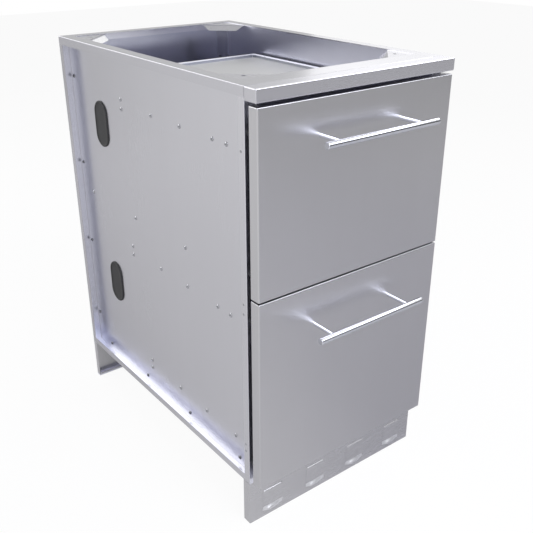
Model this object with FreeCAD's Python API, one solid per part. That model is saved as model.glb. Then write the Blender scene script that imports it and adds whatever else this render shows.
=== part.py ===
import FreeCAD, Part
import os

# An open-topped base cabinet of folded stainless sheet with two pull-out drawers on telescopic slides.
# X runs to the right, Y runs back from the drawer faces and Z runs up from the floor, in millimetres.
# The origin is on the floor, under the middle of the box that holds the cabinet and its handles.

V = FreeCAD.Vector

# Overall size
WIDTH = 457.0
DEPTH = 724.0
HEIGHT = 876.0
SHEET = 1.2
BEND = 2.4

# Top frame: the nose above the drawers, the rails round the open top and the corner gussets
BAND = 23.2
SIDE_BAND = 17.5
NOSE_DEPTH = 30.0
RAIL_SKIRT = 16.0
FRONT_RAIL_END = 77.0
SIDE_RIM = 26.0
REAR_RIM = 28.0
FRONT_GUSSET_LEG = 70.0
REAR_GUSSET_LEG = 72.0
GUSSET_FLANGE_OUT = 14.0
GUSSET_FLANGE_DOWN = 10.0
GUSSET_FLANGE_TAPER = 16.0
WORKTOP_HOLE_RADIUS = 3.6
WORKTOP_HOLE_FROM_SIDE = 52.0
WORKTOP_HOLE_FROM_RAIL = 25.0

# Side panels: sheets set back behind lips at the front, rear and bottom
RECESS = 21.0
LIP = 16.0
FLOOR_FLANGE = 28.0
BACK_FLANGE = 25.0
DIVIDER_HEIGHT = 506.0
DIVIDER_END = 560.0
DIVIDER_FLANGE = 29.0

# Oval pass-throughs in the side panels and the rubber plugs in them
PLUG_WIDTH = 56.0
PLUG_HEIGHT = 101.0
PLUG_LIP = 4.0
PLUG_STANDS = 3.2
PLUG_INSIDE = 2.0
PLUG_DISH = 1.4
PLUG_FROM_FRONT = 588.0
PLUG_HEIGHTS = (323.0, 704.0)

# Kick plates
KICK_HEIGHT = 101.0
FRONT_KICK_DEPTH = 20.0
REAR_KICK_DEPTH = 15.0
REAR_KICK_TOE = 6.0
VENT_COUNT = 4
VENT_PITCH = 114.0
VENT_WIDTH = 50.0
VENT_TAPER = 6.0
VENT_STANDS = 6.0
VENT_LIP = 3.4
VENT_TOP = 67.0
VENT_RIDGE = 30.0
VENT_BOTTOM = 15.0
VENT_SLOT = (40.0, 52.0)

# Drawer fronts, boxes and the tray on the upper drawer
FRONT_THICK = 22.0
FRONT_INSET = 3.2
UPPER_FRONT = (511.8, 847.0)
LOWER_FRONT = (106.3, 509.2)
BOX_END = 572.0
UPPER_BOX = (546.0, 815.0)
LOWER_BOX = (126.0, 478.0)
BOX_HEM = 7.0
TRAY_RIM = 10.0
TRAY_WELL = 6.0

# Telescopic slides
SLIDE_THICK = 12.7
SLIDE_START = 36.0
SLIDE_END = 536.0
SLIDE_WEB = 1.4
CABINET_MEMBER = (45.0, 9.8)
MIDDLE_MEMBER = (38.6, 6.6)
DRAWER_MEMBER = (31.0, 6.2)
MIDDLE_WEB_GAP = 1.9
UPPER_SLIDE = 764.0
LOWER_SLIDES = {"high": 437.4, "low": 165.0}

# Bar handles
HANDLE_LENGTH = 261.0
HANDLE_RADIUS = 6.25
HANDLE_STANDS = 54.0
HANDLE_CHAMFER = 0.8
POST_RADIUS = 4.0
POST_PITCH = 192.0
UPPER_HANDLE = 784.0
LOWER_HANDLE = 429.5

# Screws and buffers
SCREW_RADIUS = 2.0
SCREW_HOLE = 2.1
SCREW_HEAD_RADIUS = 4.0
SCREW_HEAD = 2.4
PANEL_SCREW_REACH = 6.0
SLIDE_SCREW_REACH = 3.4
PAIR_SPREAD = 10.0
LONG_ROW = (70.0, 111.0, 154.0, 262.0, 367.0, 490.0)
SHORT_ROW = (70.0, 104.0, 209.0, 315.0, 440.0)
REAR_SCREW_FROM_FRONT = 712.0
REAR_SCREW_HEIGHTS = (187.0, 389.0, 589.0, 789.0)
BOTTOM_SCREW_HEIGHT = 118.0
BOTTOM_SCREW_PLACES = (91.0, 280.0, 469.0, 656.0)
DIVIDER_SCREW_HEIGHT = 522.0
DIVIDER_SCREW_PLACES = (263.0, 465.0)
SPARE_SCREWS = ((70.0, 146.0), (70.0, 188.0), (70.5, 458.0), (70.5, 476.0), (669.0, 526.0))
KICK_SCREW_PLACES = (-150.0, -50.0, 50.0, 150.0)
HANDLE_SCREW_RADIUS = 2.5
HANDLE_SCREW_HEAD = (4.5, 3.0)
HANDLE_SCREW_REACH = 14.0
HANDLE_SCREW_PLAY = 0.05
BUFFER_RADIUS = 5.0
BUFFER_GAP = 0.4
BUFFER_FROM_SIDE = 11.0
BUFFER_FROM_EDGE = 45.0

# Worked-out places
HALF = WIDTH / 2
HANDLE_REACH = HANDLE_STANDS + HANDLE_RADIUS
FRONT = (HANDLE_REACH - DEPTH) / 2
RIM_UNDER = HEIGHT - SHEET
BAND_UNDER = HEIGHT - BAND
SIDE_BAND_UNDER = HEIGHT - SIDE_BAND
WALL = RECESS + SHEET
BOX_SIDE = WALL + SLIDE_THICK
PANEL_TOP = RIM_UNDER
NEAR = 0.01


def left(inward):
    """X of a place that lies inward from the outer plane of the left side."""
    return inward - HALF


def back(depth):
    """Y of a place that lies back from the plane of the drawer faces."""
    return FRONT + depth


def block(x, y, z):
    """A box between pairs of limits, with y counted back from the drawer faces."""
    corner = V(x[0], back(y[0]), z[0])
    return Part.makeBox(x[1] - x[0], y[1] - y[0], z[1] - z[0], corner)


def joined(*shapes):
    """Solids that touch face to face, made one."""
    return shapes[0].fuse(list(shapes[1:])).removeSplitter()


def mirrored(shape):
    """The right-hand twin of a left-hand piece."""
    return shape.mirror(V(0, 0, 0), V(1, 0, 0))


def rounded(shape, radius, *lines):
    """Round the straight edges on the given lines; each line fixes two of X, Y and Z."""
    chosen = []
    for edge in shape.Edges:
        box = edge.BoundBox
        for line in lines:
            ends = [(axis + end, at) for axis, at in line.items() for end in ("Min", "Max")]
            if max(abs(getattr(box, end) - at) for end, at in ends) < NEAR:
                chosen.append(edge)
    return shape.makeFillet(radius, chosen)


def rod(start, direction, length, radius):
    return Part.makeCylinder(radius, length, start, direction)


def prism(points, direction):
    """A solid swept straight from a flat outline."""
    outline = Part.makePolygon(list(points) + [points[0]])
    return Part.Face(outline).extrude(direction)


def oval(x, depth, height, width, tall, thick):
    """An upright slab with half-round ends, swept along X from x."""
    radius = width / 2
    reach = tall / 2 - radius
    y = back(depth)
    corners = [V(x, y - radius, height - reach), V(x, y - radius, height + reach)]
    corners += [V(x, y + radius, height + reach), V(x, y + radius, height - reach)]
    top = V(x, y, height + reach + radius)
    bottom = V(x, y, height - reach - radius)
    edges = [
        Part.LineSegment(corners[0], corners[1]),
        Part.Arc(corners[1], top, corners[2]),
        Part.LineSegment(corners[2], corners[3]),
        Part.Arc(corners[3], bottom, corners[0]),
    ]
    wire = Part.Wire([edge.toShape() for edge in edges])
    return Part.Face(wire).extrude(V(thick, 0, 0))


def pan_screw(seat, inward, reach):
    """A screw whose domed head sits on seat and whose shank goes inward through the sheet."""
    sphere_radius = (SCREW_HEAD_RADIUS ** 2 + SCREW_HEAD ** 2) / (2 * SCREW_HEAD)
    ball = Part.makeSphere(sphere_radius, V(0, 0, SCREW_HEAD - sphere_radius))
    above = Part.makeCylinder(2 * SCREW_HEAD_RADIUS, 2 * SCREW_HEAD)
    shank = Part.makeCylinder(SCREW_RADIUS, reach, V(0, 0, -reach))
    screw = joined(ball.common(above), shank)
    screw.Placement = FreeCAD.Placement(seat, FreeCAD.Rotation(V(0, 0, 1), -inward))
    return screw


def side_places(places):
    """Seats on the outer face of the left side panel for places given as depth and height."""
    return [V(left(RECESS), back(depth), height) for depth, height in places]


def slide_row(row, height):
    """Depths and heights of the screws of one slide, whose last place holds a pair."""
    singles = [(depth, height) for depth in row[:-1]]
    pair = [(row[-1], height + step) for step in (-PAIR_SPREAD, PAIR_SPREAD)]
    return singles + pair


def drilled(shape, seats, direction, reach, radius):
    """A shape with a round hole at each seat."""
    holes = [rod(seat - direction, direction, reach + 2, radius) for seat in seats]
    return shape.cut(holes)


SLIDE_SEATS = side_places(
    slide_row(LONG_ROW, UPPER_SLIDE)
    + slide_row(LONG_ROW[1:], LOWER_SLIDES["high"])
    + slide_row(SHORT_ROW, LOWER_SLIDES["low"])
)
REAR_SEATS = side_places([(REAR_SCREW_FROM_FRONT, height) for height in REAR_SCREW_HEIGHTS])
BOTTOM_SEATS = side_places([(depth, BOTTOM_SCREW_HEIGHT) for depth in BOTTOM_SCREW_PLACES])
DIVIDER_SEATS = side_places([(depth, DIVIDER_SCREW_HEIGHT) for depth in DIVIDER_SCREW_PLACES])
SPARE_SEATS = side_places(SPARE_SCREWS)
PANEL_SEATS = REAR_SEATS + BOTTOM_SEATS + DIVIDER_SEATS
RIGHTWARD = V(1, 0, 0)


def side_panel():
    """The left pan: a sheet set back behind C-shaped lips, with ovals and screw holes."""
    skin = block((left(0), left(WALL)), (NOSE_DEPTH, DEPTH), (KICK_HEIGHT, SIDE_BAND_UNDER))
    skin = rounded(
        skin, SHEET - NEAR,
        {"X": left(0), "Y": back(NOSE_DEPTH)},
        {"X": left(0), "Y": back(DEPTH)},
        {"X": left(0), "Z": KICK_HEIGHT},
    )
    inside = (NOSE_DEPTH + SHEET, DEPTH - SHEET)
    mouth = (NOSE_DEPTH + LIP, DEPTH - LIP)
    hollow = block((left(SHEET), left(RECESS)), inside, (KICK_HEIGHT + SHEET, HEIGHT))
    opening = block((left(-1), left(SHEET)), mouth, (KICK_HEIGHT + LIP, HEIGHT))
    upper_edge = block((left(RECESS), left(WALL)), (NOSE_DEPTH, DEPTH - SHEET), (SIDE_BAND_UNDER, PANEL_TOP))
    panel = joined(skin.cut([hollow, opening]), upper_edge)
    ovals = []
    for height in PLUG_HEIGHTS:
        width = PLUG_WIDTH - 2 * PLUG_LIP
        tall = PLUG_HEIGHT - 2 * PLUG_LIP
        ovals.append(oval(left(RECESS - 1), PLUG_FROM_FRONT, height, width, tall, SHEET + 2))
    panel = panel.cut(ovals)
    return drilled(panel, SLIDE_SEATS + PANEL_SEATS + SPARE_SEATS, RIGHTWARD, SHEET, SCREW_HOLE)


def plug(height):
    """A rubber oval plug: a dished outer lip, a neck in the sheet and a smaller flange inside."""
    neck_width = PLUG_WIDTH - 2 * PLUG_LIP
    neck_tall = PLUG_HEIGHT - 2 * PLUG_LIP
    outer = oval(left(RECESS - PLUG_STANDS), PLUG_FROM_FRONT, height, PLUG_WIDTH, PLUG_HEIGHT, PLUG_STANDS)
    rim = [edge for edge in outer.Edges if abs(edge.BoundBox.XMax - left(RECESS - PLUG_STANDS)) < NEAR]
    outer = outer.makeFillet(PLUG_STANDS / 2, rim)
    dish = oval(left(RECESS - PLUG_STANDS), PLUG_FROM_FRONT, height, neck_width, neck_tall, PLUG_DISH)
    neck = oval(left(RECESS), PLUG_FROM_FRONT, height, neck_width, neck_tall, SHEET)
    flange_width = PLUG_WIDTH - PLUG_LIP
    flange_tall = PLUG_HEIGHT - PLUG_LIP
    flange = oval(left(WALL), PLUG_FROM_FRONT, height, flange_width, flange_tall, PLUG_INSIDE)
    return joined(outer.cut(dish), neck, flange)


def back_panel():
    """The rear sheet between the side panels, with flanges turned forward along them."""
    sheet = block((left(WALL), -left(WALL)), (DEPTH - SHEET, DEPTH), (KICK_HEIGHT, SIDE_BAND_UNDER))
    flange = block(
        (left(WALL), left(WALL + SHEET)),
        (DEPTH - SHEET - BACK_FLANGE, DEPTH - SHEET),
        (KICK_HEIGHT + FLOOR_FLANGE + LIP, SIDE_BAND_UNDER),
    )
    flange = drilled(flange, [seat + V(SHEET, 0, 0) for seat in REAR_SEATS], RIGHTWARD, SHEET, SCREW_HOLE)
    return joined(sheet, flange, mirrored(flange))


def floor_panel():
    """The cabinet's bottom sheet, with side flanges turned up and a low lip at the front."""
    under = (KICK_HEIGHT, KICK_HEIGHT + SHEET)
    sheet = block((left(WALL), -left(WALL)), (NOSE_DEPTH, DEPTH - SHEET), under)
    kick_holes = []
    for depth in (NOSE_DEPTH + FRONT_KICK_DEPTH / 2, DEPTH - REAR_KICK_DEPTH / 2):
        kick_holes += [V(x, back(depth), KICK_HEIGHT) for x in KICK_SCREW_PLACES]
    sheet = drilled(sheet, kick_holes, V(0, 0, 1), SHEET, SCREW_HOLE)
    flange = block(
        (left(WALL), left(WALL + SHEET)),
        (NOSE_DEPTH + SHEET, DEPTH - SHEET),
        (under[1], under[1] + FLOOR_FLANGE),
    )
    flange = drilled(flange, [seat + V(SHEET, 0, 0) for seat in BOTTOM_SEATS], RIGHTWARD, SHEET, SCREW_HOLE)
    lip = block((left(WALL), -left(WALL)), (NOSE_DEPTH, NOSE_DEPTH + SHEET), (under[1], under[1] + LIP / 2))
    return joined(sheet, flange, mirrored(flange), lip)


def divider_panel():
    """The sheet between the drawers, with side flanges turned up and its front edge turned down."""
    start = NOSE_DEPTH + SHEET
    level = (DIVIDER_HEIGHT, DIVIDER_HEIGHT + SHEET)
    sheet = block((left(WALL), -left(WALL)), (start, DIVIDER_END), level)
    upright = (level[1], level[1] + DIVIDER_FLANGE)
    flange = block((left(WALL), left(WALL + SHEET)), (start, DIVIDER_END), upright)
    flange = drilled(flange, [seat + V(SHEET, 0, 0) for seat in DIVIDER_SEATS], RIGHTWARD, SHEET, SCREW_HOLE)
    edge = block((left(WALL), -left(WALL)), (start, start + SHEET), (level[0] - LIP, level[0]))
    return joined(sheet, flange, mirrored(flange), edge)


def front_pan(x, z, depth):
    """A pan with rounded front edges, open at the back."""
    outer = block(x, (0, depth), z)
    lines = [{"Y": back(0), "X": at} for at in x] + [{"Y": back(0), "Z": at} for at in z]
    lines += [{"X": across, "Z": up} for across in x for up in z]
    outer = rounded(outer, BEND, *lines)
    inner_x = (x[0] + SHEET, x[1] - SHEET)
    inner_z = (z[0] + SHEET, z[1] - SHEET)
    return outer.cut(block(inner_x, (SHEET, depth + 1), inner_z))


def nose_rail():
    """The fascia above the drawers: a channel across the whole front with closed ends."""
    nose = front_pan((left(0), -left(0)), (BAND_UNDER, HEIGHT), NOSE_DEPTH)
    return rounded(nose, SHEET - NEAR, {"Y": back(NOSE_DEPTH), "Z": HEIGHT})


def front_top_rail():
    """The rail behind the nose: a front skirt behind the gap over the drawer and a rear edge turned down."""
    x = (left(SIDE_RIM), -left(SIDE_RIM))
    top = block(x, (NOSE_DEPTH, FRONT_RAIL_END), (RIM_UNDER, HEIGHT))
    front = block(x, (NOSE_DEPTH, NOSE_DEPTH + SHEET), (BAND_UNDER - RAIL_SKIRT, RIM_UNDER))
    clear = SIDE_RIM + FRONT_GUSSET_LEG + LIP
    rear = block(
        (left(clear), -left(clear)), (FRONT_RAIL_END - SHEET, FRONT_RAIL_END), (RIM_UNDER - LIP, RIM_UNDER)
    )
    bends = [{"Y": back(depth), "Z": HEIGHT} for depth in (NOSE_DEPTH, FRONT_RAIL_END)]
    return rounded(joined(top, front, rear), SHEET - NEAR, *bends)


def side_top_rail():
    """The left rail of the open top: a flat rim with its outer and rear edges turned down."""
    rail = block((left(0), left(SIDE_RIM)), (NOSE_DEPTH, DEPTH), (SIDE_BAND_UNDER, HEIGHT))
    rail = rounded(
        rail, SHEET - NEAR,
        {"X": left(0), "Z": HEIGHT},
        {"Y": back(DEPTH), "Z": HEIGHT},
        {"X": left(0), "Y": back(DEPTH)},
    )
    inner_x = (left(SHEET), left(SIDE_RIM + 1))
    inner_y = (NOSE_DEPTH - 1, DEPTH - SHEET)
    return rail.cut(block(inner_x, inner_y, (SIDE_BAND_UNDER - 1, RIM_UNDER)))


def rear_top_rail():
    """The rear rail between the side rails, its outer edge turned down."""
    x = (left(SIDE_RIM), -left(SIDE_RIM))
    top = block(x, (DEPTH - REAR_RIM, DEPTH), (RIM_UNDER, HEIGHT))
    outer = block(x, (DEPTH - SHEET, DEPTH), (SIDE_BAND_UNDER, RIM_UNDER))
    return rounded(joined(top, outer), SHEET - NEAR, {"Y": back(DEPTH), "Z": HEIGHT})


def gusset(rail, leg, corner_y, step):
    """A left corner plate under the rails, with a tapered flange bent outwards and down along its long edge.

    rail is the width of the front or rear rim, corner_y the inner face of the sheet beside it, and step the
    way from that rim towards the middle of the cabinet.
    """
    rim_y = back(0) if step > 0 else back(DEPTH)
    span = SIDE_RIM + rail + leg
    plate_z = RIM_UNDER - SHEET
    side_x = left(WALL)

    def on_diagonal(inward):
        return V(left(inward), rim_y + step * (span - inward), plate_z)

    along = span - abs(corner_y - rim_y)
    corner = V(side_x, corner_y, plate_z)
    plate = prism([corner, on_diagonal(along), on_diagonal(WALL)], V(0, 0, SHEET))
    hole = V(left(WORKTOP_HOLE_FROM_SIDE), rim_y + step * (rail + WORKTOP_HOLE_FROM_RAIL), plate_z)
    plate = drilled(plate, [hole], V(0, 0, 1), SHEET, WORKTOP_HOLE_RADIUS)
    start = on_diagonal(SIDE_RIM + SHEET)
    end = on_diagonal(SIDE_RIM + leg - SHEET)
    way = (end - start).normalize()
    outward = V(1, step, 0).normalize()
    drop = outward * GUSSET_FLANGE_OUT - V(0, 0, GUSSET_FLANGE_DOWN)
    taper = way * GUSSET_FLANGE_TAPER
    outline = [start, end, end + drop - taper, start + drop + taper]
    level_thickness = SHEET * drop.Length / GUSSET_FLANGE_DOWN
    flange = prism(outline, -outward * level_thickness)
    return joined(plate, flange)


def vent_places():
    """X of the middle of each vent of the front kick."""
    return [VENT_PITCH * (number - (VENT_COUNT - 1) / 2) for number in range(VENT_COUNT)]


def hood_solid(x, shrink, root):
    """The solid under a vent hood, from root to its ridge.

    shrink makes the smaller solid that hollows the hood and runs out at its bottom edge.
    """
    face = back(NOSE_DEPTH)
    wide = VENT_WIDTH / 2 - shrink
    narrow = wide - VENT_TAPER
    top = VENT_TOP - 2 * shrink
    bottom = VENT_BOTTOM - shrink
    ridge = face - VENT_STANDS + shrink
    low = face - VENT_LIP + shrink
    high = face - SHEET + shrink
    corners = [(-wide, low, bottom), (-wide, high, top), (wide, high, top), (wide, low, bottom)]
    rear = [V(x + across, back(root), up) for across, y, up in corners]
    near = [V(x + across, y, up) for across, y, up in corners]
    peak = [V(x - narrow, ridge, VENT_RIDGE), V(x + narrow, ridge, VENT_RIDGE)]
    loops = [
        rear,
        [rear[0], rear[1], near[1], near[0]],
        [rear[1], rear[2], near[2], near[1]],
        [rear[2], rear[3], near[3], near[2]],
        [rear[3], rear[0], near[0], near[3]],
        [near[0], near[1], peak[0]],
        [near[2], near[3], peak[1]],
        [near[1], near[2], peak[1], peak[0]],
        [near[3], near[0], peak[0], peak[1]],
    ]
    faces = [Part.Face(Part.makePolygon(loop + [loop[0]])) for loop in loops]
    solid = Part.Solid(Part.Shell(faces))
    if solid.Volume < 0:
        solid.reverse()
    return solid


def vent_hoods():
    """Pressed hoods welded over the air slots of the front kick, each open at its bottom edge."""
    hoods = []
    for x in vent_places():
        hoods.append(hood_solid(x, 0, NOSE_DEPTH).cut(hood_solid(x, SHEET, NOSE_DEPTH + SHEET)))
    return Part.Compound(hoods)


def front_kick():
    """The front kick plate: a pan open to the back, with an air slot behind each vent hood."""
    outer = block((left(0), -left(0)), (NOSE_DEPTH, NOSE_DEPTH + FRONT_KICK_DEPTH), (0, KICK_HEIGHT))
    outer = rounded(outer, SHEET - NEAR, *[{"X": x, "Y": back(NOSE_DEPTH)} for x in (left(0), -left(0))])
    inside = block(
        (left(SHEET), -left(SHEET)),
        (NOSE_DEPTH + SHEET, NOSE_DEPTH + FRONT_KICK_DEPTH + 1),
        (SHEET, KICK_HEIGHT - SHEET),
    )
    reach = VENT_WIDTH / 2 - VENT_TAPER
    through = (NOSE_DEPTH, NOSE_DEPTH + SHEET)
    slots = [block((x - reach, x + reach), through, VENT_SLOT) for x in vent_places()]
    pan = outer.cut([inside] + slots)
    return drilled(pan, kick_seats(NOSE_DEPTH + FRONT_KICK_DEPTH / 2), V(0, 0, 1), SHEET, SCREW_HOLE)


def rear_kick():
    """The rear kick plate: a shallow pan open to the front, with a toe turned up along its bottom flange."""
    start = DEPTH - REAR_KICK_DEPTH
    outer = block((left(0), -left(0)), (start, DEPTH), (0, KICK_HEIGHT))
    outer = rounded(outer, SHEET - NEAR, *[{"X": x, "Y": back(DEPTH)} for x in (left(0), -left(0))])
    inside = block((left(SHEET), -left(SHEET)), (start - 1, DEPTH - SHEET), (SHEET, KICK_HEIGHT - SHEET))
    toe = block((left(SHEET), -left(SHEET)), (start, start + SHEET), (SHEET, REAR_KICK_TOE))
    pan = joined(outer.cut(inside), toe)
    return drilled(pan, kick_seats(DEPTH - REAR_KICK_DEPTH / 2), V(0, 0, 1), SHEET, SCREW_HOLE)


def kick_seats(depth):
    """Places on the underside of a kick's top flange where its screws sit."""
    return [V(x, back(depth), KICK_HEIGHT - SHEET) for x in KICK_SCREW_PLACES]


def slide_channel(near, web, height, arms, z, toward):
    """A channel along the slide: its web lies at near, its two arms point rightward or leftward."""
    y = (SLIDE_START, SLIDE_END)
    half = height / 2
    web_x = (near, near + web)
    arm_x = (near + web, near + web + arms) if toward > 0 else (near - arms, near)
    low = block(arm_x, y, (z - half, z - half + web))
    high = block(arm_x, y, (z + half - web, z + half))
    return joined(block(web_x, y, (z - half, z + half)), low, high)


def cabinet_member(z):
    channel = slide_channel(left(WALL), SLIDE_WEB, CABINET_MEMBER[0], CABINET_MEMBER[1], z, 1)
    seats = [seat + V(SHEET, 0, 0) for seat in SLIDE_SEATS if abs(seat.z - z) < CABINET_MEMBER[0] / 2]
    return drilled(channel, seats, RIGHTWARD, SLIDE_WEB, SCREW_HOLE)


def middle_member(z):
    near = left(WALL + SLIDE_WEB + MIDDLE_WEB_GAP)
    return slide_channel(near, SLIDE_WEB, MIDDLE_MEMBER[0], MIDDLE_MEMBER[1], z, 1)


def drawer_member(z):
    near = left(BOX_SIDE - SLIDE_WEB)
    return slide_channel(near, SLIDE_WEB, DRAWER_MEMBER[0], DRAWER_MEMBER[1], z, -1)


def drawer_front(z, handle):
    """The outer pan of a drawer front, with the two handle screw holes."""
    pan = front_pan((left(FRONT_INSET), -left(FRONT_INSET)), z, FRONT_THICK)
    seats = [V(x, back(0), handle) for x in (-POST_PITCH / 2, POST_PITCH / 2)]
    return drilled(pan, seats, V(0, 1, 0), SHEET, HANDLE_SCREW_RADIUS + HANDLE_SCREW_PLAY)


def drawer_liner(z):
    """The plate that closes the back of a drawer front."""
    inset = FRONT_INSET + SHEET
    return block(
        (left(inset), -left(inset)), (FRONT_THICK - SHEET, FRONT_THICK), (z[0] + SHEET, z[1] - SHEET)
    )


def drawer_box(z):
    """A drawer's floor and sides, folded from one sheet, with the top edges hemmed inward."""
    y = (FRONT_THICK, BOX_END)
    floor = block((left(BOX_SIDE), -left(BOX_SIDE)), y, (z[0], z[0] + SHEET))
    side = block((left(BOX_SIDE), left(BOX_SIDE + SHEET)), y, (z[0] + SHEET, z[1]))
    hem = block((left(BOX_SIDE + SHEET), left(BOX_SIDE + BOX_HEM)), y, (z[1] - SHEET, z[1]))
    folded = joined(floor, side, hem, mirrored(side), mirrored(hem))
    corners = [{"X": x, "Z": up} for x in (left(BOX_SIDE), -left(BOX_SIDE)) for up in z]
    return rounded(folded, SHEET - NEAR, *corners)


def drawer_back(z):
    """A drawer's rear wall, set between its sides, with its top edge hemmed forward."""
    x = (left(BOX_SIDE + SHEET), -left(BOX_SIDE + SHEET))
    wall = block(x, (BOX_END - SHEET, BOX_END), (z[0] + SHEET, z[1] - SHEET))
    inner = (left(BOX_SIDE + BOX_HEM), -left(BOX_SIDE + BOX_HEM))
    hem = block(inner, (BOX_END - BOX_HEM, BOX_END), (z[1] - SHEET, z[1]))
    return joined(wall, hem)


def tray(z):
    """A shallow pan whose flat rim lies on the hemmed edges of the upper drawer."""
    x = (left(BOX_SIDE), -left(BOX_SIDE))
    y = (FRONT_THICK + 2 * SHEET, BOX_END)
    inner_x = (x[0] + TRAY_RIM, x[1] - TRAY_RIM)
    inner_y = (y[0] + TRAY_RIM, y[1] - TRAY_RIM)
    rim = block(x, y, (z, z + SHEET))
    well = block(inner_x, inner_y, (z - TRAY_WELL, z))
    corners = [{"X": across, "Y": back(along)} for across in inner_x for along in inner_y]
    well = rounded(well, 2 * BEND, *corners)
    hollow_x = (inner_x[0] + SHEET, inner_x[1] - SHEET)
    hollow_y = (inner_y[0] + SHEET, inner_y[1] - SHEET)
    hollow = block(hollow_x, hollow_y, (z - TRAY_WELL + SHEET, z + 2 * SHEET))
    corners = [{"X": across, "Y": back(along)} for across in hollow_x for along in hollow_y]
    hollow = rounded(hollow, BEND, *corners)
    return joined(rim, well).cut(hollow)


def handle_bar(height):
    """A round bar along X with lightly bevelled ends."""
    start = V(-HANDLE_LENGTH / 2, back(-HANDLE_STANDS), height)
    bar = rod(start, RIGHTWARD, HANDLE_LENGTH, HANDLE_RADIUS)
    ends = [edge for edge in bar.Edges if edge.Closed]
    return bar.makeChamfer(HANDLE_CHAMFER, ends)


def handle_posts(height):
    """Two round posts from the drawer face to the bar, tapped for the handle screws."""
    bar = handle_bar(height)
    posts = []
    for x in (-POST_PITCH / 2, POST_PITCH / 2):
        post = rod(V(x, back(0), height), V(0, -1, 0), HANDLE_STANDS, POST_RADIUS).cut(bar)
        tapped = HANDLE_SCREW_RADIUS + HANDLE_SCREW_PLAY
        posts.append(post.cut(rod(V(x, back(0), height), V(0, -1, 0), HANDLE_SCREW_REACH + 1, tapped)))
    return Part.Compound(posts)


def handle_screws(height):
    """Two screws that hold the posts from inside the drawer front."""
    screws = []
    for x in (-POST_PITCH / 2, POST_PITCH / 2):
        head = rod(V(x, back(SHEET), height), V(0, 1, 0), HANDLE_SCREW_HEAD[1], HANDLE_SCREW_HEAD[0])
        length = SHEET + HANDLE_SCREW_REACH
        shank = rod(V(x, back(SHEET), height), V(0, -1, 0), length, HANDLE_SCREW_RADIUS)
        screws.append(joined(head, shank))
    return Part.Compound(screws)


def side_screws(seats, reach):
    """One screw at each seat on the left side panel and its twin on the right."""
    screws = [pan_screw(seat, RIGHTWARD, reach) for seat in seats]
    twins = [pan_screw(V(-seat.x, seat.y, seat.z), -RIGHTWARD, reach) for seat in seats]
    return Part.Compound(screws + twins)


def kick_screws():
    """Screws up through the top flanges of the kicks into the floor panel."""
    seats = kick_seats(NOSE_DEPTH + FRONT_KICK_DEPTH / 2) + kick_seats(DEPTH - REAR_KICK_DEPTH / 2)
    return Part.Compound([pan_screw(seat, V(0, 0, 1), PANEL_SCREW_REACH) for seat in seats])


def drawer_buffers():
    """Rubber buffers on the front edges of the side panels, behind the corners of the drawer fronts."""
    buffers = []
    for low, high in (UPPER_FRONT, LOWER_FRONT):
        for height in (low + BUFFER_FROM_EDGE, high - BUFFER_FROM_EDGE):
            for x in (left(BUFFER_FROM_SIDE), -left(BUFFER_FROM_SIDE)):
                length = NOSE_DEPTH - FRONT_THICK - BUFFER_GAP
                buffers.append(rod(V(x, back(NOSE_DEPTH), height), V(0, -1, 0), length, BUFFER_RADIUS))
    return Part.Compound(buffers)


def pair(name, shape):
    """A left piece and its mirrored right twin, under their node names."""
    return {"left_" + name: shape, "right_" + name: mirrored(shape)}


parts = {
    "back_panel": back_panel(),
    "floor_panel": floor_panel(),
    "divider_panel": divider_panel(),
    "nose_rail": nose_rail(),
    "front_top_rail": front_top_rail(),
    "rear_top_rail": rear_top_rail(),
    "front_kick": front_kick(),
    "kick_vents": vent_hoods(),
    "rear_kick": rear_kick(),
    "kick_screws": kick_screws(),
    "panel_screws": side_screws(PANEL_SEATS, PANEL_SCREW_REACH),
    "slide_screws": side_screws(SLIDE_SEATS, SLIDE_SCREW_REACH),
    "spare_screws": side_screws(SPARE_SEATS, SHEET),
    "drawer_buffers": drawer_buffers(),
}
parts.update(pair("side_panel", side_panel()))
parts.update(pair("top_rail", side_top_rail()))
parts.update(pair("front_gusset", gusset(FRONT_RAIL_END, FRONT_GUSSET_LEG, back(NOSE_DEPTH + SHEET), 1)))
parts.update(pair("rear_gusset", gusset(REAR_RIM, REAR_GUSSET_LEG, back(DEPTH - SHEET), -1)))
parts.update(pair("lower_plug", plug(PLUG_HEIGHTS[0])))
parts.update(pair("upper_plug", plug(PLUG_HEIGHTS[1])))

slides = {"upper_slide": UPPER_SLIDE}
slides.update({"lower_slide_" + place: height for place, height in LOWER_SLIDES.items()})
for name, height in slides.items():
    parts.update(pair(name + "_cabinet", cabinet_member(height)))
    parts.update(pair(name + "_middle", middle_member(height)))
    parts.update(pair(name + "_drawer", drawer_member(height)))

drawers = {"upper": (UPPER_FRONT, UPPER_BOX, UPPER_HANDLE), "lower": (LOWER_FRONT, LOWER_BOX, LOWER_HANDLE)}
for name, (front, box, handle) in drawers.items():
    parts[name + "_drawer_front"] = drawer_front(front, handle)
    parts[name + "_drawer_liner"] = drawer_liner(front)
    parts[name + "_drawer_box"] = drawer_box(box)
    parts[name + "_drawer_back"] = drawer_back(box)
    parts[name + "_handle_bar"] = handle_bar(handle)
    parts[name + "_handle_posts"] = handle_posts(handle)
    parts[name + "_handle_screws"] = handle_screws(handle)
parts["upper_drawer_tray"] = tray(UPPER_BOX[1])

os.makedirs("parts", exist_ok=True)
for name, shape in parts.items():
    shape.exportStep("parts/" + name + ".step")
    print(name, shape.isValid(), len(shape.Solids), round(shape.Volume))
print(len(parts), "nodes")
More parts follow.
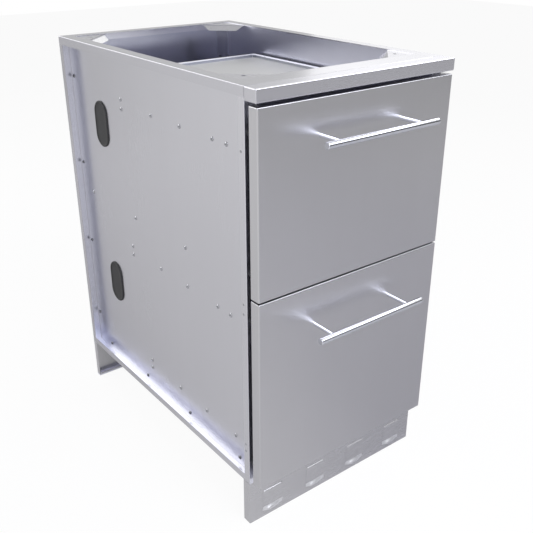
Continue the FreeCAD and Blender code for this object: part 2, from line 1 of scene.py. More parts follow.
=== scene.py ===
"""A base cabinet of an outdoor kitchen, in stainless sheet, with an open top, two drawers and kick plates.

Everything is in metres in the frame of the solids: X to the right, Y to the back, Z up from the floor.
The file follows the cabinet as it is put together, one section for each piece or group of like pieces.
"""
import bpy
import math
import numpy as np
from mathutils import Euler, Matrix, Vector


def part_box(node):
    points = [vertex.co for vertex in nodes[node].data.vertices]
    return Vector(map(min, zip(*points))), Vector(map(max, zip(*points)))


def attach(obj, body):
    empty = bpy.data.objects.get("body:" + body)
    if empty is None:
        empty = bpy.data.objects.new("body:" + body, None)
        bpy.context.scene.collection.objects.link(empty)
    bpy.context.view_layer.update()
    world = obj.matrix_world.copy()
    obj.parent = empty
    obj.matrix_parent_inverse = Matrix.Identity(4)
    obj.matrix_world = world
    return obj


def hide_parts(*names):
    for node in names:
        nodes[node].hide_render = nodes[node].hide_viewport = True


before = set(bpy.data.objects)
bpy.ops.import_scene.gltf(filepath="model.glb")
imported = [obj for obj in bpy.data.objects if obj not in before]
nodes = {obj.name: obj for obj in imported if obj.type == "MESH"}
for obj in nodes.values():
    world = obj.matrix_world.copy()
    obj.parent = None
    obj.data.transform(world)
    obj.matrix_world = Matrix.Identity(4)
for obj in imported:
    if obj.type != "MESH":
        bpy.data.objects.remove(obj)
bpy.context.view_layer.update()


# Side panels: two pans of bright-rolled stainless sheet with lips at the front, rear and bottom edges.
# Cut by laser, folded on a press brake and screwed to the other sheets. The rolling marks run upright, and
# the lips, the flanges, the recessed face and the inner face each have their own roughness. The flanges are
# painted a lighter blue-grey, which is a painted glow, and the inner face a darker blue-grey, which is
# painted shade.

NOISE_LOW = 0.3
NOISE_HIGH = 0.7
FINE_ACROSS = 2400.0
FINE_ALONG = 14.0
BANDS_ACROSS = 22.0
BANDS_ALONG = 0.9
SMUDGES_EACH_WAY = 7.0
FINE_SHARE = 0.6
BAND_SHARE = 0.4
FINE_SCUFF = 0.01
SMUDGE_SCUFF = 0.015
BRUSH_DEPTH = 0.00003
BRUSH_STRENGTH = 0.02


def link(tree, source, target):
    """Joins an output socket to an input socket of one material."""
    tree.links.new(source, target)


def stretched_noise(tree, coords, scale, detail):
    """A noise with cells 1/scale metres wide along each axis, so unequal scales draw it into streaks."""
    mapping = tree.nodes.new("ShaderNodeMapping")
    mapping.inputs["Scale"].default_value = scale
    link(tree, coords, mapping.inputs["Vector"])
    noise = tree.nodes.new("ShaderNodeTexNoise")
    noise.inputs["Scale"].default_value = 1.0
    noise.inputs["Detail"].default_value = detail
    link(tree, mapping.outputs["Vector"], noise.inputs["Vector"])
    return noise.outputs["Fac"]


def mapped(tree, value, low, high, start=NOISE_LOW, stop=NOISE_HIGH):
    """A value carried from the range start to stop, where a noise mostly lies, to the range low to high."""
    node = tree.nodes.new("ShaderNodeMapRange")
    node.inputs["From Min"].default_value = start
    node.inputs["From Max"].default_value = stop
    node.inputs["To Min"].default_value = low
    node.inputs["To Max"].default_value = high
    link(tree, value, node.inputs["Value"])
    return node.outputs["Result"]


def maths(tree, operation, first, second):
    """The sum, product or other result of two sockets or numbers."""
    node = tree.nodes.new("ShaderNodeMath")
    node.operation = operation
    for number, value in enumerate((first, second)):
        if isinstance(value, (int, float)):
            node.inputs[number].default_value = value
        else:
            link(tree, value, node.inputs[number])
    return node.outputs["Value"]


def blend_tones(tree, factor, first, second):
    """A colour between two tones or colour sockets, by a factor socket."""
    node = tree.nodes.new("ShaderNodeMix")
    node.data_type = "RGBA"
    link(tree, factor, node.inputs["Factor"])
    colour_inputs = [socket for socket in node.inputs if socket.type == "RGBA"]
    for socket, tone in zip(colour_inputs, (first, second)):
        if isinstance(tone, (tuple, list)):
            socket.default_value = (*tone, 1)
        else:
            link(tree, tone, socket)
    return [socket for socket in node.outputs if socket.type == "RGBA"][0]


def bump(tree, height, distance, strength):
    """A surface relief of the given depth in metres."""
    node = tree.nodes.new("ShaderNodeBump")
    node.inputs["Distance"].default_value = distance
    node.inputs["Strength"].default_value = strength
    link(tree, height, node.inputs["Height"])
    return node.outputs["Normal"]


def new_material(name):
    """An empty node material with its shader and its object coordinates."""
    material = bpy.data.materials.new(name)
    material.use_nodes = True
    tree = material.node_tree
    shader = tree.nodes["Principled BSDF"]
    coords = tree.nodes.new("ShaderNodeTexCoord").outputs["Object"]
    return material, tree, shader, coords


def shades(tone, spread):
    """A tone made darker and lighter by a share."""
    return [part * (1 - spread) for part in tone], [min(1.0, part * (1 + spread)) for part in tone]


def sheet_steel(name, tone, grain, rough, spread=0.012, other_sides=(), stretch=0.0):
    """Stainless sheet: fine streaks along the grain axis, broad soft bands, faint handling smudges.

    tone is the middle colour, grain the axis of the brushing, rough the middle roughness and spread the
    share by which the tone rises and falls. Each of other_sides gives an axis, a distance along it from the
    origin, and the tone and roughness of the faces that lie nearer than that, such as the inner face of a
    panel. stretch is how far coarse upright brushing draws reflections out sideways.
    """
    material, tree, shader, coords = new_material(name)
    along = "XYZ".index(grain)
    fine_scale = [FINE_ACROSS] * 3
    fine_scale[along] = FINE_ALONG
    band_scale = [BANDS_ACROSS] * 3
    band_scale[along] = BANDS_ALONG
    fine = stretched_noise(tree, coords, fine_scale, detail=3.0)
    bands = stretched_noise(tree, coords, band_scale, detail=2.0)
    smudges = stretched_noise(tree, coords, [SMUDGES_EACH_WAY] * 3, detail=4.0)
    mixed = maths(tree, "ADD", mapped(tree, fine, 0.0, FINE_SHARE), mapped(tree, bands, 0.0, BAND_SHARE))
    colour = blend_tones(tree, mixed, *shades(tone, spread))
    fine_scuffs = mapped(tree, fine, -FINE_SCUFF, FINE_SCUFF)
    scuffs = maths(tree, "ADD", fine_scuffs, mapped(tree, smudges, -SMUDGE_SCUFF, SMUDGE_SCUFF))
    dull = maths(tree, "ADD", scuffs, rough)
    split = tree.nodes.new("ShaderNodeSeparateXYZ")
    link(tree, coords, split.inputs["Vector"])
    for axis, distance, other_tone, other_rough in other_sides:
        nearer = maths(tree, "LESS_THAN", maths(tree, "ABSOLUTE", split.outputs[axis], 0.0), distance)
        colour = blend_tones(tree, nearer, colour, blend_tones(tree, mixed, *shades(other_tone, spread)))
        change = maths(tree, "SUBTRACT", maths(tree, "ADD", scuffs, other_rough), dull)
        dull = maths(tree, "ADD", dull, maths(tree, "MULTIPLY", nearer, change))
    link(tree, colour, shader.inputs["Base Color"])
    link(tree, dull, shader.inputs["Roughness"])
    link(tree, bump(tree, fine, BRUSH_DEPTH, BRUSH_STRENGTH), shader.inputs["Normal"])
    shader.inputs["Metallic"].default_value = 1.0
    shader.inputs["Anisotropic"].default_value = stretch
    return material


def finish_nodes(material, names):
    """Gives the named solids one material in place of what they came with."""
    for name in names:
        mesh = nodes[name].data
        mesh.materials.clear()
        mesh.materials.append(material)


SHEET = 0.0012
STEEL_TONE = (0.60, 0.597, 0.632)
LIP_ROUGH = 0.25
# painted glow: the flanges get a lighter blue-grey than the lips and the recessed face
FLANGE_PAINTED_GLOW_TONE = (0.76, 0.77, 0.85)
FLANGE_ROUGH = 0.28
RECESS_ROUGH = 0.29
# painted shade: the inner faces get a darker blue-grey
INNER_PAINTED_SHADE_TONE = (0.535, 0.538, 0.615)
INNER_ROUGH = 0.30
panel_low, panel_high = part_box("right_side_panel")
panel_face = panel_low[0] + SHEET
lip_face = panel_high[0]
painted_glow_flanges = ("X", lip_face - SHEET / 2, FLANGE_PAINTED_GLOW_TONE, FLANGE_ROUGH)
recess = ("X", panel_face + SHEET / 2, STEEL_TONE, RECESS_ROUGH)
painted_shade_inner_faces = ("X", panel_face - SHEET / 2, INNER_PAINTED_SHADE_TONE, INNER_ROUGH)
panel_sides = [painted_glow_flanges, recess, painted_shade_inner_faces]
rolled_sheet = sheet_steel("rolled_sheet", STEEL_TONE, "Z", LIP_ROUGH, other_sides=panel_sides)
finish_nodes(rolled_sheet, ["left_side_panel", "right_side_panel"])


# Back, floor and divider: plain sheets between the sides, folded along their edges and screwed through them.
# Rolled stainless like the sides; the back is painted darker and bluer inside, which is painted shade, and
# the floor and the divider are cut with the grain across.

BACK_ROUGH = 0.26
# painted shade: the inside of the back gets a darker blue-grey
BACK_INNER_PAINTED_SHADE_TONE = (0.485, 0.488, 0.54)
BACK_INNER_ROUGH = 0.24
PLAIN_TONE = (0.60, 0.60, 0.618)
PLAIN_ROUGH = 0.27
back_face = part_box("back_panel")[1][1]
back_inside_painted_shade = ("Y", back_face - SHEET / 2, BACK_INNER_PAINTED_SHADE_TONE, BACK_INNER_ROUGH)
back_sheet = sheet_steel("back_sheet", STEEL_TONE, "Z", BACK_ROUGH, other_sides=[back_inside_painted_shade])
inner_sheet = sheet_steel("inner_sheet", PLAIN_TONE, "X", PLAIN_ROUGH)
finish_nodes(back_sheet, ["back_panel"])
finish_nodes(inner_sheet, ["floor_panel", "divider_panel"])


# Kick plates: shallow folded pans of brushed stainless that carry the cabinet, with the grain across.
# Four louvres are pressed from thin sheet and welded over the air slots of the front one; their scoops are
# duller and painted paler, which is a painted highlight. The foot of the rear one is matt and painted a pale
# blue-white, which is painted light.

def joined_rings(rings):
    """Corners, quads and end caps of a closed skin over rings of points.

    Quads join each ring to the next and a flat cap closes each end. A ring runs anticlockwise seen from the
    end where the last ring lies.
    """
    count, around = rings.shape[:2]
    index = np.arange(count * around).reshape(count, around)
    low = index[:-1]
    high = index[1:]
    quads = np.stack([low, np.roll(low, -1, 1), np.roll(high, -1, 1), high], axis=-1)
    caps = [index[0, ::-1], index[-1]]
    return rings.reshape(-1, 3), quads.reshape(-1, 4), caps


def several(shapes):
    """One set of corners, quads and caps from several, each numbered on from the corners before it."""
    corners = [shape[0] for shape in shapes]
    starts = np.cumsum([0] + [len(part) for part in corners])
    quads = [shape[1] + start for shape, start in zip(shapes, starts)]
    caps = [cap + start for shape, start in zip(shapes, starts) for cap in shape[2]]
    return np.concatenate(corners), np.concatenate(quads), caps


def add_piece(name, shape, material, body, stands_for=(), sharp=32.0):
    """Puts a shape into the scene as a piece on a body, smooth but for edges over sharp degrees."""
    corners, quads, caps = shape
    mesh = bpy.data.meshes.new(name)
    mesh.from_pydata(corners.tolist(), [], quads.tolist() + [cap.tolist() for cap in caps])
    mesh.polygons.foreach_set("use_smooth", np.ones(len(mesh.polygons), dtype=bool))
    mesh.set_sharp_from_angle(angle=math.radians(sharp))
    mesh.materials.append(material)
    piece = bpy.data.objects.new(name, mesh)
    bpy.context.scene.collection.objects.link(piece)
    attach(piece, body)
    if stands_for:
        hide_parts(*stands_for)
    return piece


LOUVRE_COUNT = 4
LOUVRE_PITCH = 0.114
LOUVRE_WIDTH = 0.050
LOUVRE_SHEET = 0.0010
LOUVRE_ROOT = 0.0002
LOUVRE_FOOT = 0.00005
LOUVRE_BOTTOM = 0.015
SCOOP_PEAK = 0.0165
SCOOP_TOP = 0.025
SCOOP_STANDS = 0.0054
SCOOP_ENDS = 0.016
SCOOP_TAPER = 0.55
FIELD_LOW = 0.031
FIELD_HIGH = 0.049
BEAD_FOOT = 0.054
BEAD_PEAK = 0.0645
LOUVRE_TOP = 0.067
BEAD_STANDS = 0.0019
BEAD_ENDS = 0.004
CURVED_SHARE = 0.4
FLAT_SHARE = 0.2


def smooth_step(share):
    """A share held between 0 and 1 and eased at both ends: three times its square less twice its cube."""
    share = np.clip(share, 0, 1)
    return share * share * (3 - 2 * share)


def louvre(middle, face_y):
    """A pressed louvre: a scoop at the bottom, open downwards, a flat field, and a bead along the top edge.

    The stand-off is a smooth step down from the scoop's peak to its top, times one at both ends and a fall
    towards the right, plus the bead: a slow smooth step up from its foot and a quick one down to the top
    edge. An inner skin lies one sheet lower.
    """
    left_end = np.linspace(-1, -CURVED_SHARE, 19)
    flat = np.linspace(-FLAT_SHARE, FLAT_SHARE, 3)
    across = np.concatenate([left_end, flat, -left_end[::-1]])
    scoop_levels = np.linspace(LOUVRE_BOTTOM, SCOOP_TOP, 23)
    field_levels = np.linspace(FIELD_LOW, FIELD_HIGH, 4)
    bead_levels = np.linspace(BEAD_FOOT, LOUVRE_TOP, 27)
    heights = np.concatenate([scoop_levels, field_levels, bead_levels])
    from_end = (1 - np.abs(across)) * LOUVRE_WIDTH / 2
    scoop = SCOOP_STANDS * smooth_step((SCOOP_TOP - heights) / (SCOOP_TOP - SCOOP_PEAK))
    climb = smooth_step((heights - BEAD_FOOT) / (BEAD_PEAK - BEAD_FOOT))
    drop = smooth_step((LOUVRE_TOP - heights) / (LOUVRE_TOP - BEAD_PEAK))
    bead = BEAD_STANDS * np.minimum(climb, drop)
    taper = 1 - SCOOP_TAPER * smooth_step((across + 1) / 2)
    outer = LOUVRE_ROOT + scoop[:, None] * smooth_step(from_end / SCOOP_ENDS) * taper
    outer = outer + bead[:, None] * smooth_step(from_end / BEAD_ENDS)
    inner = np.clip(outer - LOUVRE_SHEET, LOUVRE_FOOT, None)
    x = middle + across * LOUVRE_WIDTH / 2
    skins = []
    for stand, order in ((outer, slice(None)), (inner, slice(None, None, -1))):
        places = np.broadcast_to(x, stand.shape)
        levels = np.broadcast_to(heights[:, None], stand.shape)
        skins.append(np.stack([places, face_y - stand, levels], axis=-1)[:, order])
    return joined_rings(np.concatenate(skins, axis=1))


FACE_TONE = (0.567, 0.563, 0.581)
KICK_ROUGH = 0.27
REAR_KICK_TONE = (0.72, 0.717, 0.74)
REAR_KICK_ROUGH = 0.3
# painted light: the foot of the rear kick gets a pale blue-white
FOOT_PAINTED_LIGHT_TONE = (0.90, 0.90, 1.0)
FOOT_ROUGH = 0.6
FOOT_HEIGHT = 3 * SHEET
# painted highlight: the scoops of the louvres get a paler tone than the kick face
SCOOP_PAINTED_LIGHT_TONE = (0.77, 0.77, 0.79)
SCOOP_ROUGH = 0.41
SCOOP_EDGE = 0.001
brushed_across = sheet_steel("brushed_across", FACE_TONE, "X", KICK_ROUGH)
painted_light_foot = ("Z", FOOT_HEIGHT, FOOT_PAINTED_LIGHT_TONE, FOOT_ROUGH)
rear_kick_sheet = sheet_steel("rear_kick_sheet", REAR_KICK_TONE, "X", REAR_KICK_ROUGH,
                              other_sides=[painted_light_foot])
painted_light_scoops = ("Z", SCOOP_TOP - SCOOP_EDGE, SCOOP_PAINTED_LIGHT_TONE, SCOOP_ROUGH)
louvre_sheet = sheet_steel("louvre_sheet", FACE_TONE, "X", KICK_ROUGH, other_sides=[painted_light_scoops])
finish_nodes(brushed_across, ["front_kick"])
finish_nodes(rear_kick_sheet, ["rear_kick"])
kick_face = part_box("front_kick")[0][1]
louvre_places = [LOUVRE_PITCH * (number - (LOUVRE_COUNT - 1) / 2) for number in range(LOUVRE_COUNT)]
louvres = several([louvre(place, kick_face) for place in louvre_places])
add_piece("kick_louvres", louvres, louvre_sheet, "cabinet", ["kick_vents"])


# Top frame: the box-section nose above the drawers, the four rails of the open rim and the corner gussets.
# Stainless sheet, folded and welded. The tops are brushed fine and the outer skirts coarser; the skirt in
# the gap over the drawers is painted a dark navy, which is painted shade, and the flange of the left rear
# gusset is smoother and painted lighter, which is a painted highlight.

NOSE_TONE = (0.66, 0.656, 0.70)
NOSE_ROUGH = 0.27
SKIRT_TONE = (0.572, 0.569, 0.603)
SKIRT_ROUGH = 0.36
RAIL_ROUGH = 0.20
SIDE_RAIL_ROUGH = 0.16
# painted shade: the skirt in the gap over the drawers gets a dark navy
GAP_PAINTED_SHADE_TONE = (0.36, 0.36, 0.52)
DARK_SKIRT_ROUGH = 0.3
GUSSET_ROUGH = 0.27
# painted highlight: the flange of the left rear gusset gets a lighter tone
GUSSET_FLANGE_PAINTED_HIGHLIGHT_TONE = (0.88, 0.88, 0.90)
POLISHED_ROUGH = 0.2
below_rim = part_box("left_top_rail")[1][2] - 3 * SHEET
nose_front = ("X", lip_face - SHEET, NOSE_TONE, NOSE_ROUGH)
nose_sheet = sheet_steel("nose_sheet", SKIRT_TONE, "X", SKIRT_ROUGH, other_sides=[nose_front])
gap_skirt_painted_shade = ("Z", below_rim, GAP_PAINTED_SHADE_TONE, DARK_SKIRT_ROUGH)
front_rail_sheet = sheet_steel("front_rail_sheet", STEEL_TONE, "X", RAIL_ROUGH, other_sides=[gap_skirt_painted_shade])
rails_across = sheet_steel("rails_across", STEEL_TONE, "X", RAIL_ROUGH)
rail_tops = ("X", lip_face - SHEET, STEEL_TONE, SIDE_RAIL_ROUGH)
brushed_back = sheet_steel("brushed_back", SKIRT_TONE, "Y", SKIRT_ROUGH, other_sides=[rail_tops])
gusset_sheet = sheet_steel("gusset_sheet", STEEL_TONE, "Y", GUSSET_ROUGH)
painted_highlight_flange = ("Z", below_rim, GUSSET_FLANGE_PAINTED_HIGHLIGHT_TONE, POLISHED_ROUGH)
gusset_painted_highlight = sheet_steel("gusset_painted_highlight", STEEL_TONE, "Y", GUSSET_ROUGH,
                              other_sides=[painted_highlight_flange])
finish_nodes(nose_sheet, ["nose_rail"])
finish_nodes(front_rail_sheet, ["front_top_rail"])
finish_nodes(rails_across, ["rear_top_rail"])
finish_nodes(brushed_back, ["left_top_rail", "right_top_rail"])
finish_nodes(gusset_sheet, ["left_front_gusset", "right_front_gusset", "right_rear_gusset"])
finish_nodes(gusset_painted_highlight, ["left_rear_gusset"])


# Oval plugs: moulded black rubber in the pass-throughs of the side panels.
# A soft rounded lip grips the outer face of the sheet, a lower flange its inner face.

EGGSHELL_EACH_WAY = 900.0
EGGSHELL_DEPTH = 0.0002
EGGSHELL_STRENGTH = 0.25
BLOOM_EACH_WAY = 38.0
BLOOM_GAIN = 1.35
BLOOM_LIFT = 0.004
BLOOM_ROUGH = 0.06


def rubber(name, tone, rough):
    """Moulded rubber: a fine eggshell grain and a dusty bloom that lightens it in patches."""
    material, tree, shader, coords = new_material(name)
    grain = stretched_noise(tree, coords, [EGGSHELL_EACH_WAY] * 3, detail=2.0)
    bloom = stretched_noise(tree, coords, [BLOOM_EACH_WAY] * 3, detail=4.0)
    dusty = [part * BLOOM_GAIN + BLOOM_LIFT for part in tone]
    link(tree, blend_tones(tree, mapped(tree, bloom, 0.0, 1.0), tone, dusty), shader.inputs["Base Color"])
    link(tree, mapped(tree, bloom, rough - BLOOM_ROUGH, rough + BLOOM_ROUGH), shader.inputs["Roughness"])
    link(tree, bump(tree, grain, EGGSHELL_DEPTH, EGGSHELL_STRENGTH), shader.inputs["Normal"])
    return material


PLUG_WIDTH = 0.056
PLUG_HEIGHT = 0.101
PLUG_SIDES = 56
PLUG_FROM_FRONT = 0.588
PLUG_LEVELS = {"lower": 0.323, "upper": 0.704}
PLUG_TONE = (0.027, 0.027, 0.028)
PLUG_ROUGH = 0.62
PLUG_PROFILE = [
    (0.0270, -0.0032), (0.0030, -0.0032), (0.0022, -0.0029), (0.0020, -0.0022), (0.0020, -0.0012),
    (0.0040, -0.0012), (0.0040, 0.0), (0.0, 0.0), (0.0, 0.0014), (0.0003, 0.0022), (0.0010, 0.0029),
    (0.0021, 0.0032), (0.0034, 0.0031), (0.0042, 0.0026), (0.0046, 0.0020), (0.0052, 0.0018),
    (0.0160, 0.0019), (0.0270, 0.0020),
]
drawer_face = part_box("upper_drawer_front")[0][1]


def oval_plug(side, level):
    """A plug on the right (side 1) or left (-1), in rings shaped like a racecourse.

    Each ring is drawn in by the inset and raised by the stand-off of one point of the profile, which runs
    from the inner flange to the middle of the outer face.
    """
    around = np.linspace(0, 2 * math.pi, PLUG_SIDES, endpoint=False) + math.pi / PLUG_SIDES
    reach = (PLUG_HEIGHT - PLUG_WIDTH) / 2
    inset, stand = np.array(PLUG_PROFILE).T
    radius = (PLUG_WIDTH / 2 - inset)[:, None]
    y = drawer_face + PLUG_FROM_FRONT + radius * np.cos(around) * side
    z = level + radius * np.sin(around) + reach * np.sign(np.sin(around))
    x = np.broadcast_to(side * (panel_face + stand[:, None]), y.shape)
    return joined_rings(np.stack([x, y, z], axis=-1))


plug_rubber = rubber("plug_rubber", PLUG_TONE, PLUG_ROUGH)
for side_name, side in (("left", -1), ("right", 1)):
    for place, level in PLUG_LEVELS.items():
        add_piece(f"{side_name}_{place}_oval", oval_plug(side, level), plug_rubber, "cabinet",
                  [f"{side_name}_{place}_plug"])


# Screws: pan heads with a cross recess, in stainless, along the slides, the floor, the divider and the back.
# Each goes through the side sheet, most of them into what lies behind it; those of the kicks go up into
# the floor panel. The ones along the floor and the back get a darker tone than those along the divider,
# which is painted shade.

HEAD_RADIUS = 0.0046
HEAD_HEIGHT = 0.0027
SHANK_RADIUS = 0.0020
SHANK_POINT = 0.6
POINT_LENGTH = 0.0006
DOME_SHARES = (0.985, 0.94, 0.86, 0.75, 0.62, 0.53, 0.48, 0.38, 0.28, 0.18, 0.09)
CROSS_REACH = 0.0023
CROSS_HALF = 0.00045
CROSS_DEPTH = 0.0012
CROSS_RISE = 0.45
GOLDEN_TURN = 2.4
TWIN_HALF = 0.010


def screw_rings(reach):
    """Rings of one screw standing on its axis: shank, underside, then a spherical dome.

    The dome's height drops in a cross, where either side-to-side distance from the axis is within half the
    slot.
    """
    around = np.linspace(0, 2 * math.pi, 32, endpoint=False)
    spread = HEAD_RADIUS * np.array(DOME_SHARES)
    ball = (HEAD_RADIUS ** 2 + HEAD_HEIGHT ** 2) / (2 * HEAD_HEIGHT)
    dome = HEAD_HEIGHT - ball + np.sqrt(ball ** 2 - spread ** 2)
    shank_radius = [SHANK_RADIUS * SHANK_POINT, SHANK_RADIUS, SHANK_RADIUS, HEAD_RADIUS]
    shank_height = [-reach, -reach + POINT_LENGTH, 0.0, 0.0]
    radius = np.concatenate([shank_radius, spread])[:, None]
    height = np.concatenate([shank_height, dome])[:, None]
    u = radius * np.cos(around)
    v = radius * np.sin(around)
    inside = (height > 0) & (radius < CROSS_REACH) & (np.minimum(np.abs(u), np.abs(v)) < CROSS_HALF)
    w = np.broadcast_to(height, u.shape) - CROSS_DEPTH * inside * (1 - CROSS_RISE * radius / CROSS_REACH)
    return np.stack([u, v, w], axis=-1)


def screw_set(seats, outward, reach):
    """Screws with their heads on the seats, pointing outward, each turned by its own angle."""
    axis = np.array(outward, dtype=float)
    first = np.array([0.0, 0.0, 1.0]) if abs(axis[2]) < 0.5 else np.array([1.0, 0.0, 0.0])
    second = np.cross(axis, first)
    rings = screw_rings(reach)
    screws = []
    for number, seat in enumerate(seats):
        turn = GOLDEN_TURN * number
        u = first * math.cos(turn) + second * math.sin(turn)
        v = second * math.cos(turn) - first * math.sin(turn)
        screws.append(joined_rings(np.array(seat) + rings @ np.stack([u, v, axis])))
    return several(screws)


def side_screws(places, reach):
    """Screws at depths from the drawer faces and heights, on both side panels."""
    seats = [(panel_face, drawer_face + depth, height) for depth, height in places]
    twins = [(-x, y, z) for x, y, z in seats]
    return several([screw_set(seats, (1, 0, 0), reach), screw_set(twins, (-1, 0, 0), reach)])


def slide_row(row, height):
    """The screws of one slide: single ones, and two above each other at the last place."""
    twins = [(row[-1], height - TWIN_HALF), (row[-1], height + TWIN_HALF)]
    return [(depth, height) for depth in row[:-1]] + twins


SLIDE_LEVELS = {"upper_slide": 0.764, "lower_slide_high": 0.4374, "lower_slide_low": 0.165}
LONG_ROW = (0.070, 0.111, 0.154, 0.262, 0.367, 0.490)
SHORT_ROW = (0.070, 0.104, 0.209, 0.315, 0.440)
BACK_ROW = 0.712
BACK_SCREW_LEVELS = (0.187, 0.389, 0.589, 0.789)
FLOOR_ROW = 0.118
FLOOR_SCREW_DEPTHS = (0.091, 0.280, 0.469, 0.656)
DIVIDER_ROW = 0.522
DIVIDER_SCREW_DEPTHS = (0.263, 0.465)
SPARE_PLACES = [(0.070, 0.146), (0.070, 0.188), (0.0705, 0.458), (0.0705, 0.476), (0.669, 0.526)]
KICK_SCREW_X = (-0.150, -0.050, 0.050, 0.150)
PANEL_SCREW_REACH = 0.006
SLIDE_SCREW_REACH = 0.0034
slide_places = slide_row(LONG_ROW, SLIDE_LEVELS["upper_slide"])
slide_places += slide_row(LONG_ROW[1:], SLIDE_LEVELS["lower_slide_high"])
slide_places += slide_row(SHORT_ROW, SLIDE_LEVELS["lower_slide_low"])
panel_places = [(BACK_ROW, height) for height in BACK_SCREW_LEVELS]
panel_places += [(depth, FLOOR_ROW) for depth in FLOOR_SCREW_DEPTHS]
panel_places += [(depth, DIVIDER_ROW) for depth in DIVIDER_SCREW_DEPTHS]
kick_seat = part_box("front_kick")[1][2] - SHEET
kick_seats = []
for kick in ("front_kick", "rear_kick"):
    low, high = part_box(kick)
    kick_seats += [(x, (low[1] + high[1]) / 2, kick_seat) for x in KICK_SCREW_X]

DARK_SCREW_TONE = (0.23, 0.232, 0.25)
BRIGHT_SCREW_TONE = (0.37, 0.373, 0.395)
SCREW_ROUGH = 0.14
BEFORE_BACK_ROW = 0.30
ABOVE_FLOOR_ROW = 0.14
divider_screws = ("Y", BEFORE_BACK_ROW, BRIGHT_SCREW_TONE, SCREW_ROUGH)
# painted shade: the screws along the floor, like those along the back, take the darker tone
floor_screws_painted_shade = ("Z", ABOVE_FLOOR_ROW, DARK_SCREW_TONE, SCREW_ROUGH)
panel_rows = [divider_screws, floor_screws_painted_shade]
screw_steel = sheet_steel("screw_steel", DARK_SCREW_TONE, "X", SCREW_ROUGH, spread=0.1)
bright_steel = sheet_steel("bright_steel", BRIGHT_SCREW_TONE, "X", SCREW_ROUGH, spread=0.06)
panel_screws_painted_shade = sheet_steel("panel_screws_painted_shade", DARK_SCREW_TONE, "X", SCREW_ROUGH, spread=0.08,
                          other_sides=panel_rows)
panel_heads = side_screws(panel_places, PANEL_SCREW_REACH)
slide_heads = side_screws(slide_places, SLIDE_SCREW_REACH)
spare_heads = side_screws(SPARE_PLACES, SHEET)
kick_heads = screw_set(kick_seats, (0, 0, -1), PANEL_SCREW_REACH)
add_piece("panel_pan_heads", panel_heads, panel_screws_painted_shade, "cabinet", ["panel_screws"])
add_piece("slide_pan_heads", slide_heads, bright_steel, "cabinet", ["slide_screws"])
add_piece("spare_pan_heads", spare_heads, bright_steel, "cabinet", ["spare_screws"])
add_piece("kick_pan_heads", kick_heads, screw_steel, "cabinet", ["kick_screws"])


# Rivets: low round heads of stainless that hold the returns of the front lips, in pairs and singly.
# They are pressed flat from outside, on both sides, so that they stand hardly above the sheet.

RIVET_RADIUS = 0.0026
RIVET_HEIGHT = 0.0005
RIVET_SUNK = 0.0004
RIVET_SHARES = (1.0, 1.0, 0.9, 0.75, 0.5, 0.25)
RIVET_FROM_FRONT = 0.040
RIVET_LEVELS = (0.177, 0.193, 0.4765, 0.496, 0.771)


def rivet(side, level):
    """A low head: a buried foot, then a flat arch whose height falls with the square of the radius."""
    around = np.linspace(0, 2 * math.pi, 20, endpoint=False)
    share = np.array(RIVET_SHARES)[:, None]
    height = RIVET_HEIGHT * (1 - share ** 2)
    height[0] = -RIVET_SUNK
    y = drawer_face + RIVET_FROM_FRONT + side * RIVET_RADIUS * share * np.cos(around)
    z = level + RIVET_RADIUS * share * np.sin(around)
    x = np.broadcast_to(side * (lip_face + height), y.shape)
    return joined_rings(np.stack([x, y, z], axis=-1))


rivets = several([rivet(side, level) for side in (-1, 1) for level in RIVET_LEVELS])
add_piece("lip_rivets", rivets, bright_steel, "cabinet")


# Slides: three pairs of telescopic slides, roll-formed from zinc-plated strip, a channel within a channel.
# Balls in pressed cages run between the members; the cages stay with the middle member.

SLIDE_TONE = (0.50, 0.51, 0.53)
SLIDE_ROUGH = 0.3
slide_zinc = sheet_steel("slide_zinc", SLIDE_TONE, "Y", SLIDE_ROUGH, spread=0.06)
members = ["cabinet", "middle", "drawer"]
slides = [f"{side}_{name}" for side in ("left", "right") for name in SLIDE_LEVELS]
finish_nodes(slide_zinc, [f"{slide}_{member}" for slide in slides for member in members])

BALL_TONE = (0.7, 0.7, 0.71)
BALL_ROUGH = 0.08
BALL_PITCH = 0.022
BALL_CAP = 0.06
CAGE_WIDTH = 0.0044
CAGE_THICK = 0.0005
CAGE_SHIFT = {"left": 0.0007, "right": -0.0007}
OUTER_RACE = {"offset": 0.0202, "ball": 0.00085, "start": 0.300, "stop": 0.520}
INNER_RACE = {"offset": 0.0167, "ball": 0.00110, "start": 0.052, "stop": 0.272}
SLIDES_OF = {"upper": ["upper_slide"], "lower": ["lower_slide_high", "lower_slide_low"]}


def ball_rings(centre, radius):
    """A low sphere of 8 by 5 faces: rings at even angles from pole to pole, the poles cut to small caps."""
    around = np.linspace(0, 2 * math.pi, 8, endpoint=False)
    down = np.linspace((1 - BALL_CAP) * math.pi, BALL_CAP * math.pi, 6)[:, None]
    x = radius * np.sin(down) * np.cos(around)
    y = radius * np.sin(down) * np.sin(around)
    z = np.broadcast_to(radius * np.cos(down), x.shape)
    return np.stack([x, y, z], axis=-1) + np.array(centre)


def cage_rings(x, start, stop, z):
    """A thin strip along Y: a flat profile with four bevelled corners, carried from start to stop."""
    half_x = CAGE_WIDTH / 2
    half_z = CAGE_THICK / 2
    bevel = CAGE_THICK / 3
    top_x = np.array([-half_x, -half_x + bevel, half_x - bevel, half_x])
    top_z = np.array([half_z - bevel, half_z, half_z, half_z - bevel])
    profile_x = x + np.concatenate([top_x, top_x[::-1]])
    profile_z = z + np.concatenate([top_z, -top_z[::-1]])
    y = np.broadcast_to(np.array([start, stop])[:, None], (2, len(profile_x)))
    return np.stack([np.broadcast_to(profile_x, y.shape), y, np.broadcast_to(profile_z, y.shape)], axis=-1)


